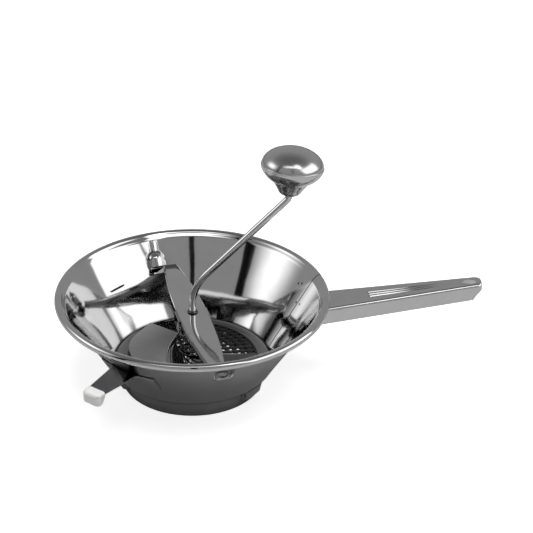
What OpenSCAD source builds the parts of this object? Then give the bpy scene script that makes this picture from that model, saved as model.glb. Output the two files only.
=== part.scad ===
// Rotary food mill: a conical strainer bowl with a handle and two pot rests, a perforated
// grinding disc, and a cranked blade pressed onto the disc by a spring under a crossbar.
// Millimetres. The bowl's axis is Z, its foot rests on Z = 0 and the handle runs along +X.

/* [Bowl] */
// Outside diameter over the rolled rim
rim_d = 240; // [224:1:256]
// Height of the middle of the rolled rim above the table
rim_z = 84; // [80:1:92]
// Diameter of the rolled bead round the rim
bead_d = 7; // [6:0.5:8]
// Thickness of the bowl's sheet steel
sheet_t = 0.8; // [0.6:0.1:1.1]
// Radius that the wall loses per millimetre of depth
wall_slope = 0.62; // [0.58:0.01:0.64]
// How far the outside of the wall lies inside the middle of the bead, at its height
wall_inset = 4.15; // [4:0.05:4.6]
// Height of the ledges that carry the disc
seat_z = 18; // [16:0.5:20]
// How far each ledge reaches inwards from the wall
ledge_w = 4.6; // [4:0.1:5.4]
// Outside diameter of the foot's resting edge
foot_d = 126; // [124:1:130]
// Height of the straight band at the foot's resting edge
foot_band_h = 4; // [3:0.5:5]
// Number of pressed-in ledges
ledge_n = 3; // [3:1:4]
// Angle that each pillar between two ledges spans
pillar_a = 16; // [12:1:30]
// How far a pillar's face leans inwards towards its foot
pillar_lean = 0.9; // [0.8:0.1:1.4]
// Direction of the first ledge's middle
ledge_az = -105.5; // [-112:0.5:-98]

/* [Catches] */
// Radius of the pressed-in catch hoods
hood_r = 8.4; // [7:0.1:9]
// How far a hood stands into the bowl
hood_depth = 7; // [6:0.1:7.4]
// Height of the slit under a hood
hood_z = 61; // [59:0.5:62]
// Straight length of a hood above its slit
hood_len = 6.5; // [4:0.5:8]
// Direction of the catch near the back
hood_back_az = 104.5; // [103:0.5:107]
// Direction of the catch near the front
hood_front_az = -80.5; // [-82:0.5:-79]

/* [Handle] */
// How far the handle reaches beyond the rim
handle_over = 140; // [120:1:160]
// Width of the handle where it passes under the rim
handle_root_w = 33; // [30:0.5:36]
// Width of the handle at its tip
handle_tip_w = 16; // [14:0.5:20]
// Depth of the handle's side flanges
handle_drop = 15; // [12:0.5:16]
// Height of the handle's top face under the rim's edge
handle_z = 72.5; // [70:0.5:74]
// Upward slope of the handle
handle_tilt = 4.8; // [3:0.1:6]
// Thickness of the handle's sheet steel
handle_t = 1.2; // [1:0.1:1.5]
// Width of each pressed groove on top of the handle
groove_w = 1.8; // [1.4:0.1:2.2]
// Distance between grooves
groove_pitch = 4.2; // [4:0.1:5]
// Length of the grooves
groove_len = 68; // [60:1:74]
// Distance from the rim to the start of the grooves
groove_from = 36; // [30:1:40]
// Diameter of the wide end of the hanging hole
hang_d = 9; // [7:0.5:10]
// Length of the hanging hole from its narrow end to its wide centre
hang_len = 8; // [7:0.5:9]

/* [Pot rests] */
// Direction of each rest to either side, from the handle
rest_az = 132.5; // [126:0.5:140]
// Height of the arm's underside
rest_z = 54; // [50:0.5:57]
// How far the arm reaches beyond the rim
rest_over = 19; // [16:1:26]
// Width of the arm at the wall
rest_root_w = 25; // [22:0.5:28]
// Width of the arm at its end
rest_tip_w = 15; // [12:0.5:18]
// Thickness of the rest's steel
rest_t = 1.5; // [1.2:0.1:2]
// Height of the plate that is welded to the wall
rest_plate_h = 20; // [16:0.5:22]
// Angle that the plate spans on the wall
rest_plate_a = 33; // [30:1:36]
// Length of the cap on the arm's end
cap_len = 9.5; // [8:0.5:14]
// How far the cap hangs below the arm
cap_drop = 8.5; // [6:0.5:10]
// Wall of the cap over the arm
cap_wall = 1.3; // [1:0.1:2]

/* [Disc] */
// Gap between the disc's edge and the bowl's wall
disc_gap = 1.5; // [1:0.1:2]
// Thickness of the disc's sheet steel
disc_t = 0.8; // [0.6:0.1:1]
// Width of the plain border round the perforated field
disc_border = 11; // [9:0.5:14]
// Height of the step from the disc's rim up to its field
disc_step = 2.4; // [2:0.1:3.4]
// Diameter of each hole
hole_d = 3; // [2:0.1:3.4]
// Distance between rings of holes
hole_pitch = 6.5; // [6:0.1:7.5]
// Diameter of the bearing ring's flange at the disc's centre
disc_hub_d = 14; // [13:0.5:15]
// Thickness of the bearing ring's flange
hub_flange_t = 0.8; // [0.6:0.1:1]
// Depth of the bearing ring under the disc
disc_hub_h = 4; // [3:0.5:5]

/* [Crank] */
// Diameter of the crank rod
rod_d = 6; // [5:0.1:6.5]
// Running clearance round the rod, on the radius
run_gap = 0.08; // [0.05:0.01:0.1]
// Clearance between pieces that move past each other
move_gap = 0.5; // [0.4:0.05:0.7]
// Radius of the crank at the knob
crank_r = 81.5; // [76:0.5:84]
// Direction that the crank points at rest
crank_az = -6; // [-30:1:30]
// Height at which the rod's two lower axes cross
low_corner_z = 92.5; // [90:0.5:96]
// Height at which the rod's two upper axes cross
high_corner_z = 179; // [172:0.5:186]
// Bend radius at the lower corner
low_bend_r = 45; // [30:1:50]
// Bend radius at the upper corner
high_bend_r = 8; // [7:0.5:12]
// Outward lean of the knob's axis
knob_lean = 4.5; // [0:0.5:8]
// Twist of the upper bend round the rod's slope
knob_twist = 10.5; // [0:0.5:14]

/* [Crossbar] */
// Height of the crossbar's top face
bar_z = 67; // [66:0.5:68]
// Distance between each end of the crossbar and a hood's face
bar_gap = 3; // [2:0.1:4]
// Width of the crossbar at the middle
bar_mid_w = 27; // [25:0.5:30]
// Width of the crossbar at its ends
bar_end_w = 13; // [11:0.5:14]
// Thickness of the crossbar's steel
bar_t = 1.2; // [1:0.1:1.5]
// Depth of the crossbar's side flanges
bar_drop = 7; // [5:0.5:8]
// Direction of the crossbar's back end
bar_az = 98; // [96:0.5:98.5]
// Depth of the bearing bracket under the crossbar
bracket_drop = 18; // [16:0.5:20]
// Length of the bearing bracket along the crossbar
bracket_len = 18; // [14:0.5:22]
// Diameter of the bearing bush in the crossbar
bush_d = 10; // [9:0.5:11]

/* [Blade and spring] */
// How far the blade's outer edge stays inside the perforated field
blade_inset = 1; // [0.5:0.5:4]
// Thickness of the blade
blade_t = 1.2; // [1:0.1:1.5]
// Height that the blade's leading edge is lifted
blade_rise = 16; // [12:0.5:17]
// Angle that the blade spans
blade_a = 215; // [190:1:230]
// Direction of the blade's trailing edge from the crank
blade_az = 0; // [-20:1:20]
// How much wider the blade's inner edge opens away from the hub
blade_open = 6; // [4:0.5:8]
// How much narrower the blade's outer edge becomes at its leading end
blade_taper = 10; // [6:0.5:14]
// Diameter of the blade's hub
blade_hub_d = 16; // [14:0.5:17]
// Height of the blade's hub
blade_hub_h = 5; // [4:0.5:6]
// Diameter of the spring's wire
wire_d = 1.6; // [1.2:0.1:1.8]
// Turns of the spring
spring_turns = 5; // [4:1:6]
// Mean radius of the spring's top turn
spring_top_r = 7; // [6:0.1:7.5]
// Mean radius of the spring's bottom turn
spring_foot_r = 9.6; // [9:0.1:10]

/* [Knob] */
// Diameter of the knob over its seam bead
knob_d = 54; // [50:0.5:58]
// Height of the knob's dome above the seam
dome_h = 16; // [13:0.5:18]
// Depth of the knob below the seam
knob_drop = 26; // [25:0.5:28]
// Thickness of the knob's shells
knob_t = 0.8; // [0.6:0.1:1]
// Length of the rod's pin inside the knob
knob_pin_l = 21; // [19:0.5:22]

/* [Hidden] */
$fn = 96;

steel = "silver";
mirror_steel = "gainsboro";
dark_steel = [0.2, 0.2, 0.21];
white_plastic = "white";

rim_r = rim_d / 2;
bead_r = bead_d / 2;
bead_at = rim_r - bead_r;
wall_t = sheet_t * sqrt(1 + wall_slope * wall_slope);
wall_angle = atan(wall_slope);
// Outside radius of the wall at a height
function wall_r(z) = bead_at - wall_inset - (rim_z - z) * wall_slope;
seat_r = wall_r(seat_z);
foot_r = foot_d / 2;
ledge_r = seat_r - ledge_w;
ledge_step = 360 / ledge_n;
ledge_a = ledge_step - pillar_a;
pillar_r = seat_r - pillar_lean;
pillar_z = foot_band_h + 1.5;
cheek_a = atan(sheet_t / ledge_r);

bracket_z = bar_z - bracket_drop;
disc_r = seat_r - wall_t - disc_gap;
field_r = disc_r - disc_border;
blade_r = field_r - blade_inset;
disc_hub_r = disc_hub_d / 2;
field_z = seat_z + disc_step;
hub_top_z = field_z + disc_t + hub_flange_t;
rod_r = rod_d / 2;
bore_r = rod_r + run_gap;
blade_hub_z = hub_top_z + move_gap;
seat_gap_z = blade_hub_z + blade_hub_h + move_gap;
washer_t = 0.8;
spring_low_z = seat_gap_z + washer_t;
spring_high_z = bracket_z - washer_t;
rod_foot_z = field_z - disc_hub_h - 1;

crank_rise = high_corner_z - low_corner_z;
crank_slope = atan(crank_rise / crank_r);
low_turn = 90 - crank_slope;
high_turn = 90 - knob_lean - crank_slope;
low_tangent = low_bend_r * tan(low_turn / 2);
high_tangent = high_bend_r * tan(high_turn / 2);
slope_len = sqrt(crank_rise * crank_rise + crank_r * crank_r) - low_tangent - high_tangent;

// A ring sector of a closed profile of radius and height points
module sector(points, from, span) {
    rotate([0, 0, from]) rotate_extrude(angle = span, $fn = 180) polygon(points);
}

module bored_ring(radius, bore, z, h) {
    translate([0, 0, z]) difference() {
        cylinder(r = radius, h = h);
        translate([0, 0, -1]) cylinder(r = bore, h = h + 2);
    }
}

// Bowl ---------------------------------------------------------------------------------

// Line of the foot's wall from its resting edge to the wall above, outside and inside
foot_out = [[foot_r, 0], [foot_r, foot_band_h], [pillar_r, pillar_z], [seat_r, seat_z]];
foot_in = [[seat_r - wall_t, seat_z], [ledge_r - sheet_t, seat_z],
    [foot_r - sheet_t, foot_band_h], [foot_r - sheet_t, 0]];
// What is taken off outside a ledge, and inside the wall between ledges
skin = 0.05;
pressed_out = [[seat_r + 1, seat_z - sheet_t], [ledge_r, seat_z - sheet_t],
    [foot_r + skin, foot_band_h + skin], [seat_r + 1, foot_band_h + skin]];
pressed_in = [[seat_r - wall_t - skin, seat_z + 1], [seat_r - wall_t - skin, seat_z],
    [pillar_r - sheet_t, pillar_z + sheet_t], [foot_r - sheet_t, foot_band_h + sheet_t],
    [foot_r - 3, foot_band_h + sheet_t], [foot_r - 3, seat_z + 1]];

// The sheet curls over and under itself, and leaves a gap at the wall
bead_steps = 24;
flare_z = rim_z - 1;
function bead_arc(r, from, to) = [for (i = [0:bead_steps])
    let (a = from + (to - from) * i / bead_steps)
    [bead_at + r * cos(a), rim_z + r * sin(a)]];

module turned_shell() difference() {
    rotate_extrude($fn = 180) polygon(concat(foot_out, [[wall_r(flare_z), flare_z]],
        bead_arc(bead_r - sheet_t, 170, -115), bead_arc(bead_r, -115, 140),
        [[wall_r(flare_z) - wall_t, flare_z]], foot_in));
    for (i = [0:ledge_n - 1]) {
        start = ledge_az + i * ledge_step - ledge_a / 2;
        sector(pressed_out, start + cheek_a, ledge_a - 2 * cheek_a);
        sector(pressed_in, start + ledge_a, ledge_step - ledge_a);
    }
}

// Places a child at a catch: X out of the bowl, Z up along the wall, origin at the slit
module at_hood(az) {
    rotate([0, 0, az]) translate([wall_r(hood_z), 0, hood_z]) rotate([0, wall_angle, 0]) children();
}

// Round-topped form of a hood, which reaches below the slit by a given length
module hood_form(radius, low) {
    translate([hood_r - hood_depth, 0, 0]) rotate_extrude($fn = 96)
        polygon(concat([[0, -low], [radius, -low]],
            [for (a = [0:10:90]) [radius * cos(a), hood_len + radius * sin(a)]]));
}

// Space outside the wall, which trims the hoods flush
module outside_wall(shift) {
    rotate_extrude($fn = 180) polygon([[wall_r(40) + shift, 40], [wall_r(83) + shift, 83],
        [rim_r + 30, 83], [rim_r + 30, 40]]);
}

module bowl_shell() color(mirror_steel) {
    difference() {
        turned_shell();
        for (az = [hood_back_az, hood_front_az]) at_hood(az) hood_form(hood_r - sheet_t, 0);
    }
    for (az = [hood_back_az, hood_front_az]) difference() {
        at_hood(az) difference() {
            hood_form(hood_r, 0);
            hood_form(hood_r - sheet_t, 1);
        }
        outside_wall(-wall_t / 2);
    }
}

// Handle -------------------------------------------------------------------------------

handle_root = wall_r(handle_z - handle_drop);
handle_reach = rim_r + handle_over;
function handle_w(r) = handle_root_w + (handle_tip_w - handle_root_w) * (r - rim_r) / handle_over;
function handle_outline(inset, from) = [[from, -handle_w(from) / 2 + inset],
    [handle_reach - 4 - inset, -handle_w(handle_reach - 4) / 2 + inset],
    [handle_reach - inset, -handle_w(handle_reach) / 2 + 4],
    [handle_reach - inset, handle_w(handle_reach) / 2 - 4],
    [handle_reach - 4 - inset, handle_w(handle_reach - 4) / 2 - inset],
    [from, handle_w(from) / 2 - inset]];

// Tilts a child about the line where the handle's top passes under the rim's edge
module on_handle() {
    translate([rim_r, 0, handle_z]) rotate([0, -handle_tilt, 0]) translate([-rim_r, 0, 0]) children();
}

module handle() color(steel) difference() {
    on_handle() difference() {
        translate([0, 0, -handle_drop]) linear_extrude(handle_drop)
            polygon(handle_outline(0, handle_root));
        translate([0, 0, -handle_drop - 1]) linear_extrude(handle_drop + 1 - handle_t)
            polygon(handle_outline(handle_t, handle_root - 1));
        // The flanges are cut away in a curve towards the tip
        translate([handle_reach + 9, 0, -handle_drop - 9]) rotate([90, 0, 0])
            cylinder(r = 20, h = 60, center = true);
        for (i = [-1:1]) translate([rim_r + groove_from, i * groove_pitch, 0]) rotate([0, 90, 0])
            cylinder(r = groove_w / 2, h = groove_len, $fn = 24);
        translate([handle_reach - 9, 0, -10]) {
            cylinder(d = hang_d, h = 20, $fn = 48);
            linear_extrude(20) polygon([[-hang_len, 0], [-1.5, hang_d / 2 * 0.94],
                [-1.5, -hang_d / 2 * 0.94]]);
        }
    }
    // The root is trimmed to the bowl's wall
    rotate_extrude($fn = 180) polygon([[0, 30], [wall_r(30), 30], [wall_r(88), 88], [0, 88]]);
}

// Pot rests ----------------------------------------------------------------------------

rest_wall_r = wall_r(rest_z);
rest_reach = rim_r + rest_over;
module rest_plate() {
    plate_t = rest_t * sqrt(1 + wall_slope * wall_slope);
    low_z = rest_z - rest_plate_h;
    intersection() {
        rotate([0, 0, -rest_plate_a / 2]) rotate_extrude(angle = rest_plate_a, $fn = 180)
            polygon([[wall_r(low_z), low_z], [wall_r(low_z) + plate_t, low_z],
                [rest_wall_r + plate_t, rest_z + rest_t], [wall_r(rest_z + rest_t), rest_z + rest_t]]);
        translate([0, 0, rest_z - rest_plate_h]) rotate([0, 90, 0]) linear_extrude(rest_reach)
            rest_plate_outline();
    }
}

// Rounded outline of the plate, looked at along the radius: X down, Y sideways
module rest_plate_outline() {
    half = (rest_wall_r + 4) * sin(rest_plate_a / 2);
    corner = 7;
    for (side = [-1, 1]) translate([-rest_plate_h - rest_t + corner + 2, side * (half - corner)])
        circle(r = corner, $fn = 48);
    translate([-rest_plate_h - rest_t + corner + 2, -half]) square([rest_plate_h - corner, 2 * half]);
    translate([-rest_plate_h - rest_t - 2, -half + corner])
        square([rest_plate_h + rest_t, 2 * half - 2 * corner]);
}

module rest() color(mirror_steel) {
    rest_plate();
    translate([0, 0, rest_z]) difference() {
        linear_extrude(rest_t) polygon([[rest_wall_r - 4, -rest_root_w / 2],
            [rest_wall_r + 4, -rest_root_w / 2], [rest_reach, -rest_tip_w / 2 + 1],
            [rest_reach, rest_tip_w / 2 - 1], [rest_wall_r + 4, rest_root_w / 2],
            [rest_wall_r - 4, rest_root_w / 2]]);
        translate([0, 0, -rest_z]) rotate_extrude($fn = 180)
            polygon([[0, 30], [wall_r(30), 30], [wall_r(80), 80], [0, 80]]);
    }
}

// Outline of the cap from the side: X along the arm, Y up
function cap_side(top) = [[0, -3], [2.5, -cap_drop + 1.2], [4.5, -cap_drop], [cap_len - 3, -cap_drop],
    [cap_len - 1.2, -cap_drop + 1], [cap_len, -cap_drop + 3.5], [cap_len, top - 3],
    [cap_len - 1, top - 1], [cap_len - 3, top], [0, top]];
module rest_cap() color(white_plastic) {
    cap_w = rest_tip_w + 2 * cap_wall;
    corner = 5;
    translate([rest_reach + cap_wall - cap_len, 0, rest_z]) difference() {
        intersection() {
            translate([0, cap_w / 2 + 1, 0]) rotate([90, 0, 0]) linear_extrude(cap_w + 2)
                polygon(cap_side(rest_t + cap_wall));
            union() {
                translate([-1, -cap_w / 2, -20]) cube([cap_len + 1 - corner, cap_w, 40]);
                translate([-1, -cap_w / 2 + corner, -20]) cube([cap_len + 2, cap_w - 2 * corner, 40]);
                for (side = [-1, 1]) translate([cap_len - corner, side * (cap_w / 2 - corner), -20])
                    cylinder(r = corner, h = 40, $fn = 48);
            }
        }
        translate([-1, -rest_tip_w / 2 - 0.5, 0])
            cube([cap_len - cap_wall + 1, rest_tip_w + 1, rest_t]);
    }
}

module rest_front() rotate([0, 0, -rest_az]) rest();
module rest_back() rotate([0, 0, rest_az]) rest();
module rest_cap_front() rotate([0, 0, -rest_az]) rest_cap();
module rest_cap_back() rotate([0, 0, rest_az]) rest_cap();

// Disc ---------------------------------------------------------------------------------

disc_hole_r = disc_hub_r - 2;
disc_edge_w = 5;
hole_rings = floor((field_r - hole_d - disc_hub_r - hole_d) / hole_pitch);
module grinding_disc() color(steel) difference() {
    rotate_extrude($fn = 180) polygon([[disc_hole_r, field_z], [field_r, field_z],
        [disc_r - disc_edge_w, seat_z], [disc_r, seat_z], [disc_r, seat_z + disc_t],
        [disc_r - disc_edge_w + disc_t / 2, seat_z + disc_t],
        [field_r + disc_t / 2, field_z + disc_t], [disc_hole_r, field_z + disc_t]]);
    for (ring = [0:hole_rings]) {
        r = field_r - hole_d - ring * hole_pitch;
        count = floor(2 * PI * r / hole_pitch);
        for (i = [0:count - 1]) rotate([0, 0, i * 360 / count]) translate([r, 0, field_z - 5])
            cylinder(d = hole_d, h = 15, $fn = 16);
    }
}

module disc_hub() color(dark_steel) {
    bored_ring(disc_hole_r, bore_r, field_z - disc_hub_h, disc_hub_h + disc_t);
    bored_ring(disc_hub_r, bore_r, field_z + disc_t, hub_flange_t);
}

// Crossbar -----------------------------------------------------------------------------

bar_half = wall_r(hood_z) - hood_depth - bar_gap;
bar_side_r = (bar_half * bar_half + pow((bar_mid_w - bar_end_w) / 2, 2)) / (bar_mid_w - bar_end_w);
module bar_plan(inset, half) {
    intersection() {
        translate([0, -bar_side_r + bar_mid_w / 2]) circle(r = bar_side_r - inset, $fn = 720);
        translate([0, bar_side_r - bar_mid_w / 2]) circle(r = bar_side_r - inset, $fn = 720);
        square([2 * half, bar_mid_w * 2], center = true);
    }
}

hook_t = 1.5;
hook_z = hood_z - move_gap - hook_t;
hook_r = wall_r(hook_z) - wall_t - move_gap;
post_r = bar_half - bar_t;
// A post down from the bar's end, with a tongue at its foot that reaches under a hood
module end_hook(post_az, post_span, tongue_az, tongue_span) {
    sector([[post_r, hook_z + hook_t / 2], [bar_half, hook_z + hook_t / 2],
        [bar_half, bar_z - bar_t / 2], [post_r, bar_z - bar_t / 2]], post_az, post_span);
    sector([[post_r + bar_t / 2, hook_z], [hook_r, hook_z], [hook_r, hook_z + hook_t],
        [post_r + bar_t / 2, hook_z + hook_t]], tongue_az, tongue_span);
}

module crossbar() color(mirror_steel) {
    half_a = asin((bar_end_w - bar_t) / 2 / bar_half);
    hook_a = atan(hood_r * 0.6 / hook_r);
    difference() {
        rotate([0, 0, bar_az]) difference() {
            translate([0, 0, bar_z - bar_drop]) linear_extrude(bar_drop) bar_plan(0, bar_half - 0.3);
            translate([0, 0, bar_z - bar_drop - 1]) linear_extrude(bar_drop + 1 - bar_t)
                bar_plan(bar_t, bar_half + 1);
        }
        translate([0, 0, bar_z - 5]) cylinder(d = bush_d, h = 10);
    }
    end_hook(bar_az - half_a, 2 * half_a, bar_az - half_a, hood_back_az + hook_a - bar_az + half_a);
    end_hook(bar_az + 180 - half_a, 2 * half_a, hood_front_az + 360 - hook_a, 2 * hook_a);
}

module bearing_bracket() color(mirror_steel) rotate([0, 0, bar_az]) {
    leg_h = bracket_drop - bar_t - 2;
    for (side = [-1, 1]) translate([-bracket_len / 2, side * (bar_mid_w + bar_t) / 2 - bar_t / 2,
        bracket_z]) cube([bracket_len, bar_t, leg_h]);
    difference() {
        translate([-bracket_len / 2, -bar_mid_w / 2, bracket_z])
            cube([bracket_len, bar_mid_w, bar_t]);
        translate([0, 0, bracket_z - 1]) cylinder(r = bore_r, h = bar_t + 2);
    }
}

module crossbar_bush() color(dark_steel)
    bored_ring(bush_d / 2, bore_r, bar_z - 4, 4);

module spring_washer() color(steel)
    bored_ring(spring_top_r + wire_d, bore_r, spring_high_z, washer_t);

// Spring -------------------------------------------------------------------------------

spring_sides = 8;
spring_steps = 16 * spring_turns;
function spring_r(u) = spring_foot_r + (spring_top_r - spring_foot_r) * u;
function spring_z(u) = spring_low_z + wire_d / 2
    + (spring_high_z - spring_low_z - wire_d) * min(1, max(0, (u - 0.1) / 0.8));
spring_points = [for (i = [0:spring_steps]) let (u = i / spring_steps, a = 360 * spring_turns * u)
    for (k = [0:spring_sides - 1]) let (b = 360 * k / spring_sides,
        r = spring_r(u) + wire_d / 2 * cos(b))
        [r * cos(a), r * sin(a), spring_z(u) + wire_d / 2 * sin(b)]];

// Side and end faces of a tube whose rings of points follow each other
function tube_faces(rings, sides) = concat(
    [[for (k = [0:sides - 1]) k]],
    [for (i = [0:rings - 2]) for (k = [0:sides - 1])
        let (n = (k + 1) % sides, a = i * sides, b = a + sides) [a + k, b + k, b + n, a + n]],
    [[for (k = [0:sides - 1]) rings * sides - 1 - k]]);
module pressure_spring() color(dark_steel)
    polyhedron(spring_points, tube_faces(spring_steps + 1, spring_sides), convexity = 10);

module spring_seat() color(steel)
    bored_ring(spring_foot_r + wire_d, bore_r, seat_gap_z, washer_t);

// Crank --------------------------------------------------------------------------------

// Bent stretch of rod that leaves along +Z and turns towards +X by an angle
module rod_bend(bend_r, turn) {
    translate([bend_r, 0, 0]) rotate([90, 0, 180]) rotate_extrude(angle = turn, $fn = 96)
        translate([bend_r, 0]) circle(r = rod_r, $fn = 48);
}

// Rounds the meeting of two stretches, a hair larger than the rod
module rod_joint() sphere(r = rod_r + 0.01, $fn = 48);

module after_bend(bend_r, turn) {
    translate([bend_r * (1 - cos(turn)), 0, bend_r * sin(turn)]) rotate([0, turn, 0]) children();
}

module at_slope() rotate([0, 0, crank_az]) translate([0, 0, low_corner_z - low_tangent])
    after_bend(low_bend_r, low_turn) children();

module at_knob() at_slope() translate([0, 0, slope_len]) rotate([0, 0, 180 - knob_twist])
    after_bend(high_bend_r, high_turn) rotate([0, 0, 180]) children();

module crank_rod() color(steel) {
    translate([0, 0, rod_foot_z]) cylinder(r = rod_r, h = low_corner_z - low_tangent - rod_foot_z);
    rotate([0, 0, crank_az]) translate([0, 0, low_corner_z - low_tangent]) {
        rod_joint();
        rod_bend(low_bend_r, low_turn);
    }
    at_slope() {
        rod_joint();
        cylinder(r = rod_r, h = slope_len);
        translate([0, 0, slope_len]) {
            rod_joint();
            rotate([0, 0, 180 - knob_twist]) rod_bend(high_bend_r, high_turn);
        }
    }
    at_knob() {
        rod_joint();
        cylinder(r = rod_r, h = knob_pin_l);
    }
}

module retaining_ring() color(dark_steel)
    bored_ring(rod_r + 1.3, rod_r, bar_z + move_gap, 1);

blade_steps = 36;
blade_rays = 6;
function ease(u) = let (v = min(1, max(0, u))) v * v * (3 - 2 * v);
function blade_in(t) = blade_hub_d / 2 + blade_open * ease((t - 0.1) / 0.25);
function blade_out(t) = blade_r - blade_taper * ease((t - 0.8) / 0.2);
function blade_lift(t) = blade_rise * pow(t, 1.6);
function blade_point(t, v, up) = let (r = blade_in(t) + (blade_out(t) - blade_in(t)) * v,
    a = -blade_a * t)
    [r * cos(a), r * sin(a), blade_hub_z + blade_lift(t) + up];
blade_row = blade_rays + 1;
blade_sheet = blade_row * (blade_steps + 1);
blade_points = [for (up = [0, blade_t]) for (i = [0:blade_steps]) for (j = [0:blade_rays])
    blade_point(i / blade_steps, j / blade_rays, up)];
blade_faces = concat(
    [for (i = [0:blade_steps - 1]) for (j = [0:blade_rays - 1]) let (a = i * blade_row + j)
        [a, a + blade_row, a + 1]],
    [for (i = [0:blade_steps - 1]) for (j = [0:blade_rays - 1]) let (a = i * blade_row + j)
        [a + 1, a + blade_row, a + blade_row + 1]],
    [for (i = [0:blade_steps - 1]) for (j = [0:blade_rays - 1])
        let (a = blade_sheet + i * blade_row + j) [a, a + 1, a + blade_row]],
    [for (i = [0:blade_steps - 1]) for (j = [0:blade_rays - 1])
        let (a = blade_sheet + i * blade_row + j) [a + 1, a + blade_row + 1, a + blade_row]],
    [for (i = [0:blade_steps - 1]) for (j = [0, blade_rays]) let (a = i * blade_row + j,
        b = a + blade_row, c = b + blade_sheet, d = a + blade_sheet)
        j == 0 ? [a, d, c, b] : [a, b, c, d]],
    [for (j = [0:blade_rays - 1]) for (i = [0, blade_steps]) let (a = i * blade_row + j,
        b = a + 1, c = b + blade_sheet, d = a + blade_sheet)
        i == 0 ? [a, b, c, d] : [a, d, c, b]]);
module blade() color(mirror_steel) rotate([0, 0, crank_az + blade_az])
    polyhedron(blade_points, blade_faces, convexity = 10);

module blade_hub() color(steel) difference() {
    bored_ring(blade_hub_d / 2, rod_r, blade_hub_z, blade_hub_h);
    translate([0, 0, blade_hub_z + blade_hub_h / 2]) rotate([90, 0, crank_az])
        cylinder(r = 1, h = blade_hub_d + 2, center = true, $fn = 24);
}

module blade_pin() color(dark_steel) difference() {
    translate([0, 0, blade_hub_z + blade_hub_h / 2]) rotate([90, 0, crank_az])
        cylinder(r = 1, h = blade_hub_d - 0.4, center = true, $fn = 24);
    cylinder(r = rod_r, h = bar_z);
}

// Knob ---------------------------------------------------------------------------------

knob_r = knob_d / 2;
seam_h = knob_drop;
// Places a child in the knob's frame, with Z = 0 at the foot of its neck
module in_knob() at_knob() translate([0, 0, move_gap]) children();

dome_turns = 18;
function dome_arc(rx, rz) = [for (i = [0:dome_turns]) let (a = 90 * i / dome_turns)
    [rx * cos(a), seam_h + rz * sin(a)]];
module knob_dome() color(mirror_steel) in_knob() rotate_extrude()
    polygon(concat(dome_arc(knob_r - 0.5, dome_h),
        [for (p = [0:dome_turns]) dome_arc(knob_r - 0.5 - knob_t, dome_h - knob_t)[dome_turns - p]]));

bush_r = rod_r + 2;
neck_r = bush_r + 1;
// Outside profile of the knob's lower shell, as parts of its radius and its depth
base_form = [[0.3, 0.04], [0.36, 0.11], [0.42, 0.22], [0.495, 0.34], [0.56, 0.45], [0.61, 0.49],
    [0.71, 0.56], [0.81, 0.66], [0.9, 0.77], [0.96, 0.87], [0.99, 0.94]];
base_curve = [for (p = base_form) [p[0] * knob_r, p[1] * seam_h]];
// Points a sheet's thickness inside each inner point of a profile
function inside(p, t) = [for (i = [1:len(p) - 2]) let (d = p[i + 1] - p[i - 1])
    p[i] + [-d[1], d[0]] * t / norm(d)];
base_inside = inside(base_curve, knob_t);
module knob_base() color(mirror_steel) in_knob() rotate_extrude()
    polygon(concat([[neck_r, 0]], base_curve, [[knob_r, seam_h - 0.9], [knob_r, seam_h],
        [knob_r - knob_t, seam_h]], [for (i = [len(base_inside) - 1:-1:0]) base_inside[i]],
        [[bush_r, base_inside[0][1]], [bush_r, 0]]));

module knob_bush() color(white_plastic) in_knob() bored_ring(bush_r, bore_r, 0, knob_pin_l - 4);

module knob_retainer() color(dark_steel) at_knob() bored_ring(rod_r + 2, rod_r, knob_pin_l - 2.4, 1.2);

bowl_shell();
handle();
rest_front();
rest_back();
rest_cap_front();
rest_cap_back();
grinding_disc();
disc_hub();
crossbar();
bearing_bracket();
crossbar_bush();
spring_washer();
pressure_spring();
spring_seat();
crank_rod();
retaining_ring();
blade();
blade_hub();
blade_pin();
knob_dome();
knob_base();
knob_bush();
knob_retainer();
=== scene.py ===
"""Looks of a food mill: a bowl, a perforated disc, a crossbar, a crank with its blade, and a knob.

All lengths in the classes are millimetres in the part's frame. The origin is on the bowl's axis at
the foot's resting edge, Z is up and the handle runs along X.
"""

from __future__ import annotations

import logging
from dataclasses import dataclass
from enum import Enum
from typing import Sequence

import bpy
import numpy as np
from mathutils import Matrix, Vector
from mathutils.geometry import delaunay_2d_cdt


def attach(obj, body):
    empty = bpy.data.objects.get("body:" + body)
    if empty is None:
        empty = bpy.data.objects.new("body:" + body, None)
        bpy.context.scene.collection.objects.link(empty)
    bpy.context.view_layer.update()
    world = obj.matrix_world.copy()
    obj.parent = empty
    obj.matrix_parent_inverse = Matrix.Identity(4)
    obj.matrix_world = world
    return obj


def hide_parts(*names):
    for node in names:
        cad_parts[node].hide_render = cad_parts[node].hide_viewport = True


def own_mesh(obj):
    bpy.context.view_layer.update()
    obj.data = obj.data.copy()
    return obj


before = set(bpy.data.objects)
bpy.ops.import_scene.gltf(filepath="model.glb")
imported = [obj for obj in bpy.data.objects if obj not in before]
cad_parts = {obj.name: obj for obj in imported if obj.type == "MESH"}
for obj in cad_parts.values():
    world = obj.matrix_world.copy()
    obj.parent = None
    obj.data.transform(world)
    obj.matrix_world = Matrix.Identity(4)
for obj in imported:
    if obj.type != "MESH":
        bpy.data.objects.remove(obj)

MM = 0.001
CRISP = 38.0  # edges sharper than this angle in degrees stay crisp
CRISP_SHEET = 50.0  # the same for bent sheet, whose bends have few points
BORE_R = 3.08  # bearings and washers round the 6 mm rod
MOVE_GAP = 0.5  # between pieces that turn past each other
Array = np.ndarray
Object = bpy.types.Object
Material = bpy.types.Material
Socket = bpy.types.NodeSocket
Tree = bpy.types.NodeTree
log = logging.getLogger("food_mill")


# Numbers and colours -------------------------------------------------------------------------


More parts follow.
